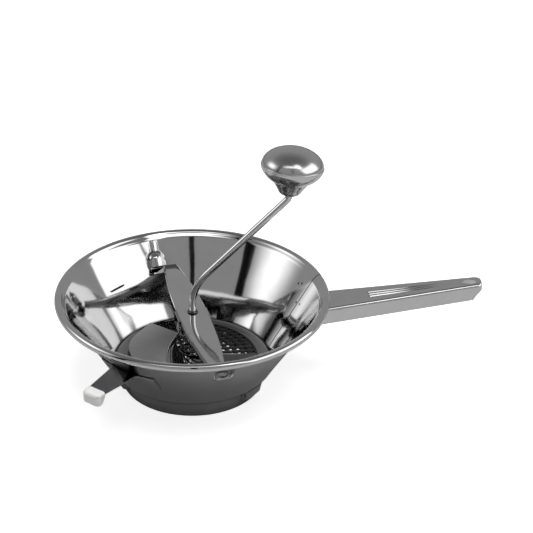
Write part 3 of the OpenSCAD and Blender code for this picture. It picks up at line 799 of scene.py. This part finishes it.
@dataclass
class Rest:
    """Pot rest: a bent steel tab welded to the wall, with a nylon cap pushed on its end."""

    bowl: Bowl
    label: str
    az: float
    z: float = 54.0
    reach: float = 139.0
    root_w: float = 25.0
    tip_w: float = 15.0
    sheet: float = 1.5
    plate_h: float = 20.0
    plate_a: float = 33.0
    corner: float = 7.0
    cap_len: float = 9.5
    cap_drop: float = 8.5
    cap_wall: float = 1.3

    def skin(self, name: str, rings: Sequence[Array]) -> Object:
        """Skins rings that were made along X, turned to the rest's place on the wall."""
        return loft(f"{name}_{self.label}", moved(np.array(rings), turn_z(self.az)))

    def arm(self) -> Object:
        """Flat arm of rounded section, which narrows to its end."""
        wall = float(self.bowl.wall_r(self.z))
        x = np.concatenate([[wall - 1.2], dense(wall, wall + 6, 1.0),
                            dense(wall + 8, self.reach, 4)])
        half = np.interp(x, [wall + 4, self.reach], [self.root_w, self.tip_w]) / 2
        half = half + 3.0 * ease((wall + 4 - x) / 5)
        rings = [station(xi, soft_box(-h, h, 0, self.sheet, 0.55, 5), self.z)
                 for xi, h in zip(x, half)]
        return self.skin("rest_arm", self.bowl.trimmed(np.array(rings), 0.2))

    def plate(self) -> Object:
        """Plate that follows the wall, with its lower corners rounded.

        At each place across it the plate runs from a low height, which rises on a circle at the
        corners, up to the arm, and its section is a thin box with soft edges.
        """
        half = (float(self.bowl.wall_r(self.z)) + 4) * np.sin(np.radians(self.plate_a / 2))
        flat = half - self.corner
        side = np.concatenate([dense(-half, -flat, 0.5), dense(-flat + 3, flat - 3, 3.0),
                               dense(flat, half, 0.5)])
        side[0], side[-1] = side[0] + 0.02, side[-1] - 0.02
        over = np.clip((np.abs(side) - flat) / self.corner, 0, 1)
        low = self.z - self.plate_h + 2 + self.corner * quarter(over)
        rings = []
        for y, z in zip(side, low):
            edge = soft_box(0.0, self.sheet * 1.15, z, self.z + self.sheet - 0.2,
                            [0.1, 0.6, 0.6, 0.1])
            r = self.bowl.wall_r(edge[:, 1]) + edge[:, 0] - 0.15
            rings.append(np.column_stack([np.sqrt(np.maximum(r ** 2 - y ** 2, 0)),
                                          np.full(len(edge), y), edge[:, 1]]))
        return self.skin("rest_plate", rings)

    def cap(self) -> Object:
        """Nylon cap: a nub that closes over the arm's end and hangs down behind a pot's rim.

        Each ring lies across the cap, and its width, top and bottom follow rounded outlines.
        """
        back = np.concatenate([np.linspace(self.cap_len, 0.0, 40), np.geomspace(0.02, 1.0, 12)])
        back = np.unique(np.round(back, 4))[::-1]
        skin = self.cap_wall - 0.02
        low = -self.cap_drop + 0.02
        near = np.clip(1 - back / 3.0, 0, 1)
        half = self.tip_w / 2 + skin - 4.2 * quarter(np.clip(1 - back / 5.0, 0, 1))
        high = self.sheet + skin - 3.6 * quarter(near)
        slant = np.interp(self.cap_len - back, [0, 2.5, 4.5], [-2.6, low + 1.3, low])
        floor = np.maximum(low + 2.8 * quarter(near), slant)
        end = self.reach + self.cap_wall
        rings = [station(end - b, soft_box(-h, h, f, u, min(2.4, (u - f) * 0.4), 8), self.z)
                 for b, h, u, f in zip(back, half, high, floor)]
        return self.skin("rest_cap_shape", rings)

    def build(self, finishes: Finishes) -> None:
        """Makes the arm, the plate and the cap."""
        steel = Part("bowl", (f"rest_{self.label}",))
        fit(self.arm(), finishes.rest, steel)
        fit(self.plate(), finishes.mirror, steel)
        fit(self.cap(), finishes.white, Part("bowl", (f"rest_cap_{self.label}",)))


@dataclass
class Disc:
    """Perforated disc: a flat rim on the ledges, a step, and a raised field of burred holes."""

    disc_r: float = 69.0
    field_r: float = 58.0
    seat_z: float = 18.0
    step: float = 2.4
    sheet: float = 0.8
    edge_w: float = 5.0
    hole_r: float = 1.5
    hole_sides: int = 12
    pitch: float = 6.5
    bore_r: float = 5.0
    hub_r: float = 7.0
    burr: float = 0.35
    burr_w: float = 0.75

    def holes(self) -> Array:
        """Centres of the holes, in rings an even pitch apart."""
        outer = self.field_r - 2 * self.hole_r
        rings = int((outer - self.hub_r - 2 * self.hole_r) // self.pitch)
        out = []
        for r in outer - np.arange(rings + 1) * self.pitch:
            count = int(2 * np.pi * r // self.pitch)
            out.append(polar(r, 2 * np.pi * np.arange(count) / count, 0.0)[:, :2])
        return np.vstack(out)

    def field(self) -> Object:
        """Sheet with holes: a constrained triangulation between loops of points, top and bottom.

        Each hole has a loop at its edge, raised by the punch's burr, and one just outside it.
        """
        centres, steps = self.holes(), self.hole_sides
        loops, heights = [], []
        for r, count in ((self.field_r, 180), (self.bore_r, 36)):
            loops.append(arc((0, 0), r, 0, 360 * (1 - 1 / count), count))
            heights.append(np.zeros(count))
        for centre in centres:
            loops.append(arc(centre, self.hole_r, 0, 330, steps))
            loops.append(arc(centre, self.hole_r + self.burr_w, 15, 345, steps))
            heights += [np.full(steps, self.burr), np.zeros(steps)]
        flat, height = np.vstack(loops), np.concatenate(heights)
        edges, start = [], 0
        for loop in loops:
            n = len(loop)
            edges += [(start + i, start + (i + 1) % n) for i in range(n)]
            start += n
        verts, _, faces, origin, _, _ = delaunay_2d_cdt([Vector(p) for p in flat], edges, [], 0,
                                                        1e-5)
        verts = np.array([tuple(v) for v in verts])
        z = np.array([height[o[0]] if o else 0.0 for o in origin])
        middle = np.array([verts[list(f)].mean(axis=0) for f in faces])
        reach = np.hypot(*middle.T)
        inside = (reach < self.field_r) & (reach > self.bore_r * 0.98)
        for centre in centres:
            inside &= np.hypot(*(middle - centre).T) > self.hole_r * 0.97
        kept = [list(f) for f, ok in zip(faces, inside) if ok]
        top = self.seat_z + self.step + self.sheet
        n = len(verts)
        points = np.vstack([np.column_stack([verts, top + z]),
                            np.column_stack([verts, top - self.sheet + z * 0.7])])
        seen = {(f[i], f[(i + 1) % len(f)]) for f in kept for i in range(len(f))}
        sides = [[a, a + n, b + n, b] for a, b in sorted(seen) if (b, a) not in seen]
        under = [[i + n for i in f[::-1]] for f in kept]
        return make_mesh("disc_field", points, kept + under + sides, 30)

    def rim(self) -> Object:
        """Flat rim and step, turned."""
        low, high, t, out = self.seat_z, self.seat_z + self.step, self.sheet, self.disc_r
        foot, field = out - self.edge_w, self.field_r
        path = np.array([[field - 0.3, high], [field + 0.4, high], [foot, low], [out - 1.0, low],
                         [out, low + 0.5], [out, low + t + 0.3], [out - 1.0, low + t],
                         [foot + 0.4, low + t], [field + 0.8, high + t], [field - 0.3, high + t]])
        edges = [0.1, 1.2, 1.2, 0.5, 0.4, 0.4, 0.5, 1.2, 1.2, 0.1]
        return lathe("disc_rim", softened(path, edges, 5), 180)

    def hub(self) -> Object:
        """Bearing ring that is pressed into the disc, with a flange on top."""
        high, flange = self.seat_z + self.step, self.hub_r
        profile = np.array([[BORE_R, high - 4], [self.bore_r, high - 4],
                            [self.bore_r, high + 0.8], [flange, high + 0.8],
                            [flange, high + 1.6], [BORE_R, high + 1.6]])
        return lathe("disc_bearing", softened(profile, [0.2, 0.2, 0.1, 0.2, 0.3, 0.2], 4), 72)

    def build(self, finishes: Finishes) -> None:
        """Makes the field, the rim and the bearing ring."""
        disc = Part("bowl", ("grinding_disc",))
        fit(self.field(), finishes.disc, disc)
        fit(self.rim(), finishes.mirror, disc)
        fit(self.hub(), finishes.dark, Part("bowl", ("disc_hub",)))


@dataclass
class Crossbar:
    """Crossbar: a channel that narrows to its ends, with hooks that turn under the catches."""

    bowl: Bowl
    top: float = 67.0
    half_len: float = 88.09
    mid_w: float = 27.0
    end_w: float = 13.0
    sheet: float = 1.2
    drop: float = 7.0
    az: float = 98.0
    bend: float = 1.7
    tongue_t: float = 1.5
    post_half_a: float = 3.8
    bracket_drop: float = 18.0
    bracket_len: float = 18.0
    bush_r: float = 4.9
    washer_r: float = 8.6
    washer_t: float = 0.8

    def half(self, x: Array) -> Array:
        """Half of the width: each side is an arc of one large circle."""
        spare = (self.mid_w - self.end_w) / 2
        r = (self.half_len ** 2 + spare ** 2) / (2 * spare)
        return np.sqrt(r * r - x * x) - r + self.mid_w / 2

    def bar(self) -> Object:
        """Sweeps the channel from end to end."""
        count, end = 45, self.half_len - 0.3
        x = np.linspace(-end, end, count)
        rings = channel(x, self.half(x), np.full(count, self.drop), np.full(count, self.sheet),
                        self.bend, np.linspace(-1, 1, 5))
        return loft("crossbar_channel", moved(rings, turn_z(self.az), (0, 0, self.top)),
                    sharp=CRISP_SHEET)

    def end(self, name: str, post_az: float, tongue_az: float, span: float) -> Object:
        """Hook, skinned as one path: a post down from the end, and a tongue under a catch."""
        z = self.bowl.hood_z - MOVE_GAP - self.tongue_t
        reach = self.bowl.wall_r(z) - self.bowl.wall_t - MOVE_GAP
        inner, over = self.half_len - self.sheet, z + self.tongue_t
        profile = np.array([[inner, self.top - 0.6], [inner, z], [reach, z], [reach, over],
                            [self.half_len, over], [self.half_len, self.top - 0.6]])
        profile = softened(profile, [0.2, 1.6, 0.4, 0.4, 0.6, 0.2], 5)
        low = profile[:, 1] < over + 0.1
        rings = []
        for share in np.linspace(-1, 1, 13):
            az = np.where(low, tongue_az + share * span, post_az + share * self.post_half_a)
            rings.append(polar(profile[:, 0], np.radians(az), profile[:, 1]))
        return loft(name, np.array(rings))

    def bracket(self) -> Object:
        """Bent strap under the bar that carries the lower bearing."""
        w, h, t = (self.mid_w + self.sheet) / 2, self.bracket_len / 2, self.sheet / 2
        low, high = self.top - self.bracket_drop + t, self.top - self.sheet - 1.5
        path = softened(np.array([[-w, high], [-w, low], [w, low], [w, high]]),
                        [0, 3.5, 3.5, 0], 9, closed=False)
        path = np.vstack([path[:1], path[0] * 0.5 + path[1] * 0.5, path[1:]])
        along = unit(np.gradient(path, axis=0))
        normal = np.stack([-along[:, 1], along[:, 0]], 1)
        box = soft_box(-h, h, -t, t, 0.35)
        rings = [np.column_stack([box[:, 0], p + n * box[:, 1:]]) for p, n in zip(path, normal)]
        return loft("bearing_strap", moved(np.array(rings), turn_z(self.az)))

    def build(self, finishes: Finishes) -> None:
        """Makes the bar, its hooks, the bracket, the bush and the washer."""
        part = Part("crossbar", ("crossbar",))
        back_az, front_az = self.bowl.hood_az
        fit(self.bar(), finishes.mirror, part)
        back = self.end("crossbar_hook_back", self.az, (self.az + back_az) / 2 + 1.5, 5.5)
        front = self.end("crossbar_hook_front", self.az + 180, front_az + 360, 3.6)
        for hook in (back, front):
            fit(hook, finishes.mirror, part)
        fit(self.bracket(), finishes.mirror, Part("crossbar", ("bearing_bracket",)))
        bush = lathe("crossbar_bearing",
                     soft_box(BORE_R, self.bush_r, self.top - 4, self.top, 0.25), 72)
        fit(bush, finishes.dark, Part("crossbar", ("crossbar_bush",)))
        low = self.top - self.bracket_drop
        washer = lathe("spring_washer_ring",
                       soft_box(BORE_R, self.washer_r, low - self.washer_t, low, 0.2), 72)
        fit(washer, finishes.dark, Part("crossbar", ("spring_washer",)))


@dataclass
class Crank:
    """Bent rod with the sprung blade at its foot."""

    radius: float = 3.0
    foot_z: float = 15.4
    reach: float = 81.5
    az: float = -6.0
    low_corner: float = 92.5
    high_corner: float = 179.0
    low_bend: float = 45.0
    high_bend: float = 8.0
    lean: float = 4.5
    twist: float = 10.5
    pin: float = 21.0
    clip_r: float = 4.3
    clip_z: tuple[float, float] = (67.5, 68.5)
    blade_z: float = 22.5
    blade_r: float = 57.0
    blade_t: float = 1.2
    blade_rise: float = 16.0
    blade_a: float = 215.0
    blade_open: float = 6.0
    blade_taper: float = 10.0
    hub_r: float = 8.0
    hub_h: float = 5.0
    lift: float = 4.0
    seat_r: float = 11.2
    seat_t: float = 0.8
    spring_low: float = 28.8
    spring_high: float = 48.2
    spring_low_r: float = 9.6
    spring_high_r: float = 7.0
    wire: float = 1.6
    turns: float = 5.0

    @property
    def slope(self) -> float:
        """Angle of the slanted stretch above the level, in degrees."""
        return float(np.degrees(np.arctan2(self.high_corner - self.low_corner, self.reach)))

    @property
    def corner(self) -> Array:
        """Point at which the slanted stretch and the pin's axis meet."""
        return turn_z(self.az) @ np.array([self.reach, 0, self.high_corner])

    def knob_place(self) -> tuple[Array, Array]:
        """Point at which the pin leaves the upper bend, and the matrix of its frame."""
        turn = 90 - self.lean - self.slope
        slanted = turn_z(self.az) @ turn_y(90 - self.slope)
        matrix = slanted @ turn_z(180 - self.twist) @ turn_y(turn)
        tangent = self.high_bend * np.tan(np.radians(turn / 2))
        return self.corner + matrix[:, 2] * tangent, matrix

    def centre_line(self) -> Array:
        """Rod's axis: straight stretches joined by arcs that touch them.

        With unit vectors u and v from a corner along its two stretches, the arc's middle lies at
        bend / sin(half) along u + v, and the arc touches them at bend / tan(half).
        """
        top, matrix = self.knob_place()
        corners = [np.array([0, 0, self.foot_z]), np.array([0, 0, self.low_corner]), self.corner,
                   top + matrix[:, 2] * self.pin]
        out = [corners[0]]
        for i, bend in ((1, self.low_bend), (2, self.high_bend)):
            a, b, c = corners[i - 1:i + 2]
            u, v = unit(a - b), unit(c - b)
            half = np.arccos(np.clip(u @ v, -1, 1)) / 2
            inward = unit(u + v)
            middle = b + inward * bend / np.sin(half)
            start = b + u * bend / np.tan(half)
            side = unit(np.cross(np.cross(inward, u), inward))
            sweep = np.linspace(np.pi / 2 - half, half - np.pi / 2, 22)[:, None]
            last = out[-1]
            out += [last + (start - last) * k / 6 for k in range(1, 6)]
            out += list(middle + bend * (np.sin(sweep) * side - np.cos(sweep) * inward))
        last = out[-1]
        out += [last + (corners[3] - last) * k / 3 for k in range(1, 4)]
        return np.array(out)

    def rod(self) -> Object:
        """Rod with a chamfered foot."""
        path = self.centre_line()
        path = np.vstack([path[:1], path[:1] + (path[1] - path[0]) * 0.03, path[1:]])
        rings = tube(path, self.radius, 32)
        rings[0] = path[0] + (rings[0] - path[0]) * 0.86
        return loft("crank_rod_bent", rings)

    def blade(self) -> Object:
        """Blade: a sheet that winds down round the hub.

        At share t of its angle the sheet lies between two radii and is lifted by rise t^1.6. The
        radii ease at the ends, and the sheet's edges are half round.
        """
        rings = []
        for t in np.linspace(0, 1, 110):
            inner = self.hub_r + self.blade_open * ease((t - 0.1) / 0.25)
            outer = self.blade_r - self.blade_taper * ease((t - 0.8) / 0.2)
            edge = soft_box(0, outer - inner, 0, self.blade_t, self.blade_t * 0.45)
            z = self.blade_z + self.blade_rise * t ** 1.6
            rings.append(polar(inner + edge[:, 0], np.radians(-self.blade_a * t), z + edge[:, 1]))
        return loft("blade_sheet", moved(np.array(rings), turn_z(self.az)))

    def spring(self) -> Object:
        """Conical compression spring with flat end turns."""
        u = np.linspace(0, 1, 240)
        r = self.spring_low_r + (self.spring_high_r - self.spring_low_r) * u
        rise = self.spring_high - self.spring_low - self.wire
        z = self.spring_low + self.wire / 2 + rise * np.clip((u - 0.1) / 0.8, 0, 1)
        path = polar(r, 2 * np.pi * self.turns * u, z)
        return loft("spring_coil", tube(path, self.wire / 2 - 0.01, 12))

    def build(self, finishes: Finishes) -> None:
        """Makes the rod, its clip, the blade with its hub, the spring and its seat."""
        fit(self.rod(), finishes.rod, Part("crank", ("crank_rod",)))
        clip = lathe("retaining_clip", soft_box(self.radius, self.clip_r, *self.clip_z, 0.3), 48)
        fit(clip, finishes.dark, Part("crank", ("retaining_ring",)))
        fit(self.blade(), finishes.mirror, Part("crank", ("blade",)))
        top = self.blade_z + self.hub_h
        hub = lathe("blade_boss", soft_box(self.radius, self.hub_r, self.blade_z, top, 0.7), 72)
        fit(hub, finishes.rod, Part("crank", ("blade_hub",)))
        seat = top + MOVE_GAP
        cup = lathe("spring_cup", soft_box(BORE_R, self.seat_r, seat, seat + self.seat_t, 0.2), 72)
        fit(cup, finishes.rod, Part("lift", ("spring_seat",)))
        coil = fit(self.spring(), finishes.spring, Part("lift", ("pressure_spring",)))
        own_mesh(coil)


@dataclass
class Knob:
    """Hollow knob of two pressed shells seamed at the widest place."""

    crank: Crank
    radius: float = 27.0
    seam: float = 26.0
    dome: float = 16.0
    sheet: float = 0.8
    neck_r: float = 6.0
    bore_r: float = 5.2
    bush_r: float = 5.0

    def placed(self, name: str, profile: Array, steps: int = 144) -> Object:
        """Turns a profile about the knob's own axis."""
        point, turn = self.crank.knob_place()
        rings = turned(profile, np.arange(steps) * 360 / steps) + [0, 0, MOVE_GAP]
        return loft(name, moved(rings, turn, point), around=True)

    def top(self) -> Array:
        """Closed profile of the dome: a quarter ellipse and its inner face."""
        a = np.radians(np.linspace(0, 89.2, 34))
        r, t = self.radius - 0.5, self.sheet
        outer = np.stack([r * np.cos(a), self.seam + self.dome * np.sin(a)], 1)
        inner = np.stack([(r - t) * np.cos(a), self.seam + (self.dome - t) * np.sin(a)], 1)[::-1]
        return np.vstack([outer, inner])

    def under(self) -> Array:
        """Closed profile of the lower shell: neck, cup, step, and the curve out to the bead.

        The form gives shares of the knob's radius and of its seam's height.
        """
        form = np.array([[0.3, 0.04], [0.36, 0.11], [0.42, 0.22], [0.5, 0.34], [0.57, 0.45],
                         [0.63, 0.49], [0.74, 0.56], [0.84, 0.66], [0.925, 0.77], [0.975, 0.87],
                         [0.99, 0.94]])
        r, seam = self.radius, self.seam
        curve = form * [r, seam]
        along = unit(np.gradient(curve, axis=0))
        inner = (curve + np.stack([-along[:, 1], along[:, 0]], 1) * self.sheet)[::-1]
        bead = [[r, seam - 0.8], [r, seam + 0.35], [r - 0.8, seam + 0.8], [r - 1.4, seam]]
        path = np.vstack([[[self.neck_r, 0.0]], curve, bead, inner[:-1],
                          [[self.bore_r, inner[-1][1]], [self.bore_r, 0]]])
        edges = [0.3] + [0.9] * 4 + [0.6, 0.7] + [1.0] * 4
        return softened(path, edges + [0.5] * (len(path) - len(edges)), 6)

    def build(self, finishes: Finishes) -> None:
        """Makes both shells and the bush."""
        cap = self.placed("knob_cap", self.top())
        fit(cap, finishes.knob, Part("knob", ("knob_dome",)))
        cup = self.placed("knob_cup", self.under())
        fit(cup, finishes.knob, Part("knob", ("knob_base",)))
        sleeve = soft_box(BORE_R, self.bush_r, 0.0, self.crank.pin - 4, 0.25)
        bush = self.placed("knob_sleeve", sleeve, 48)
        fit(bush, finishes.white, Part("knob", ("knob_bush",)))


# Studio --------------------------------------------------------------------------------------


@dataclass
class Studio:
    """Pale floor, soft boxes, dark cards for the mirror finish, and the camera."""

    camera_at: tuple[float, float, float] = (-0.10920, -1.12743, 0.74815)
    camera_turn: tuple[float, float, float] = (60.735, -1.248, -8.07)
    lens: float = 101.3133
    floor_half: float = 6.0

    def sheet(self, name: str, corners: Array, finish: Material) -> Object:
        """A flat sheet given by its corners in metres, which isn't part of the mill."""
        mesh = bpy.data.meshes.new(name)
        mesh.from_pydata(corners.tolist(), [], [list(range(len(corners)))])
        obj = bpy.data.objects.new(name, mesh)
        obj.data.materials.append(finish)
        bpy.context.scene.collection.objects.link(obj)
        return obj

    def card(self, name: str, az: float, half: float, low: float, high: float, away: float,
             finish: Material) -> Object:
        """An upright card seen from the mill between two heights, in degrees and metres."""
        left, right = polar(away, np.radians([az - half, az + half]), 0.0)
        low_z, high_z = ([0, 0, np.tan(np.radians(el)) * away] for el in (low, high))
        corners = np.array([left + low_z, right + low_z, right + high_z, left + high_z])
        return self.sheet(name, corners, finish)

    def lamp(self, name: str, az: float, el: float, away: float, size: tuple[float, float],
             radiance: float, glossy: bool = True, diffuse: bool = True,
             edge: float = 0.1) -> None:
        """A soft box aimed at the mill; its power is radiance times pi times its area.

        Its light fades towards the sides over a share of its width.

        Args:
            name: Name of the lamp.
            az: Direction from the mill about Z, in degrees from X.
            el: Height above the level, in degrees.
            away: Distance in metres.
            size: Width and height in metres.
            radiance: Brightness of its face.
            glossy: Whether it shows in reflections.
            diffuse: Whether it lights matt surfaces.
            edge: Share of the width over which it fades.
        """
        light = bpy.data.lights.new(name, "AREA")
        light.shape, light.size, light.size_y = "RECTANGLE", *size
        light.energy = radiance * np.pi * size[0] * size[1]
        obj = bpy.data.objects.new(name, light)
        a, e = np.radians(az), np.radians(el)
        at = Vector(polar(np.cos(e), a, np.sin(e))) * away
        target = Vector((0, 0, 0.05))
        aim = at.to_track_quat("Z", "Y").to_matrix().to_4x4()
        obj.matrix_world = Matrix.Translation(at + target) @ aim
        obj.visible_camera = False
        obj.visible_glossy = glossy
        obj.visible_diffuse = diffuse
        light.use_nodes = True
        tree = light.node_tree
        place = add(tree, "SeparateXYZ", Vector=get(tree, "NewGeometry", "Parametric")).outputs
        fades = [get(tree, "MapRange", interpolation_type="SMOOTHSTEP", From_Min=0.5,
                     From_Max=0.5 - max(edge, 0.01), Value=distance(tree, place[axis], 0.5))
                 for axis in ("X", "Y")]
        tree.links.new(product(tree, *fades), tree.nodes["Emission"].inputs["Strength"])
        bpy.context.scene.collection.objects.link(obj)

    def paper(self) -> Material:
        """Floor paper: grey to the lamps and in reflections, and near white to the camera.

        The camera's share rises to full white away from the mill, where no shadow lies.
        """
        material, tree = blank("paper_floor")
        matt = get(tree, "BsdfDiffuse", Color=linear("E0E0E0"))
        seen = get(tree, "LightPath", "Is Camera Ray")
        away = get(tree, "VectorMath", "Value", operation="LENGTH",
                   Vector=get(tree, "TexCoord", "Object"))
        far = get(tree, "MapRange", Value=away, From_Min=0.6, From_Max=1.6, To_Min=0.8)
        glow = get(tree, "Emission", Strength=product(tree, seen, far))
        add(tree, "OutputMaterial", Surface=get(tree, "AddShader", i0=matt, i1=glow))
        return material

    def room(self) -> None:
        """Sets the room's light: pale walls, a darker ceiling, and white to the camera."""
        world = bpy.data.worlds.new("room")
        world.use_nodes = True
        tree = world.node_tree
        height = get(tree, "SeparateXYZ", "Z", Vector=get(tree, "TexCoord", "Generated"))
        up = get(tree, "MapRange", Value=height, From_Min=0.6, From_Max=0.92)
        shade = get(tree, "MixRGB", Fac=up, Color1=linear("A4A4A4"), Color2=linear("707070"))
        seen = add(tree, "LightPath").outputs
        white = get(tree, "MixRGB", Fac=seen["Is Camera Ray"], Color1=shade,
                    Color2=linear("FFFFFF"))
        soft = get(tree, "MapRange", Value=seen["Is Diffuse Ray"], To_Min=1.0, To_Max=0.4)
        background = tree.nodes["Background"].inputs
        tree.links.new(white, background["Color"])
        tree.links.new(soft, background["Strength"])
        bpy.context.scene.world = world

    def camera(self) -> None:
        """Sets the camera."""
        data = bpy.data.cameras.new("camera")
        data.lens, data.sensor_width = self.lens, 36.0
        data.clip_start, data.clip_end = 0.05, 50.0
        camera = bpy.data.objects.new("camera", data)
        camera.location = self.camera_at
        camera.rotation_euler = np.radians(self.camera_turn)
        bpy.context.scene.collection.objects.link(camera)
        bpy.context.scene.camera = camera

    def build(self) -> None:
        """Sets the floor, the room's light, the lamps, the cards and the camera."""
        square = np.array([[-1, -1, 0], [1, -1, 0], [1, 1, 0], [-1, 1, 0]]) * self.floor_half
        self.sheet("floor", square, self.paper())
        self.room()
        self.lamp("soft_box_right", -21, 28, 1.5, (1.8, 1.1), 1.55, diffuse=False, edge=0.05)
        self.lamp("soft_box_left", 172, 28, 1.6, (1.7, 1.4), 2.0, diffuse=False, edge=0.5)
        self.lamp("strip_over_camera", -95, 63, 1.6, (1.8, 0.35), 2.2, diffuse=False, edge=0.35)
        self.lamp("soft_box_high", -52, 60, 1.6, (0.45, 0.95), 2.4, diffuse=False, edge=0.3)
        self.lamp("soft_box_top", -60, 82, 1.8, (1.5, 1.5), 5.2, glossy=False)
        black = Matt("black_card", "181818").build()
        self.card("card_behind_camera", -95, 2.6, 12, 50, 2.2, black)
        self.card("card_left", -153.5, 5.5, 4, 60, 2.0, black)
        bpy.context.scene.view_settings.view_transform = "Standard"
        self.camera()


def main() -> None:
    """Builds the mill and its studio."""
    logging.basicConfig(level=logging.INFO, format="%(message)s")
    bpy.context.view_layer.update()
    finishes = Finishes()
    bowl = Bowl()
    crank = Crank()
    assemblies = [bowl, Handle(bowl), Rest(bowl, "front", -132.5), Rest(bowl, "back", 132.5),
                  Disc(), Crossbar(bowl), crank, Knob(crank)]
    for assembly in assemblies:
        assembly.build(finishes)
    for name in ("blade_pin", "knob_retainer"):
        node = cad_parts[name]
        node.data.materials.clear()
        node.data.materials.append(finishes.dark)
    Studio().build()


if __name__ == "__main__":
    main()
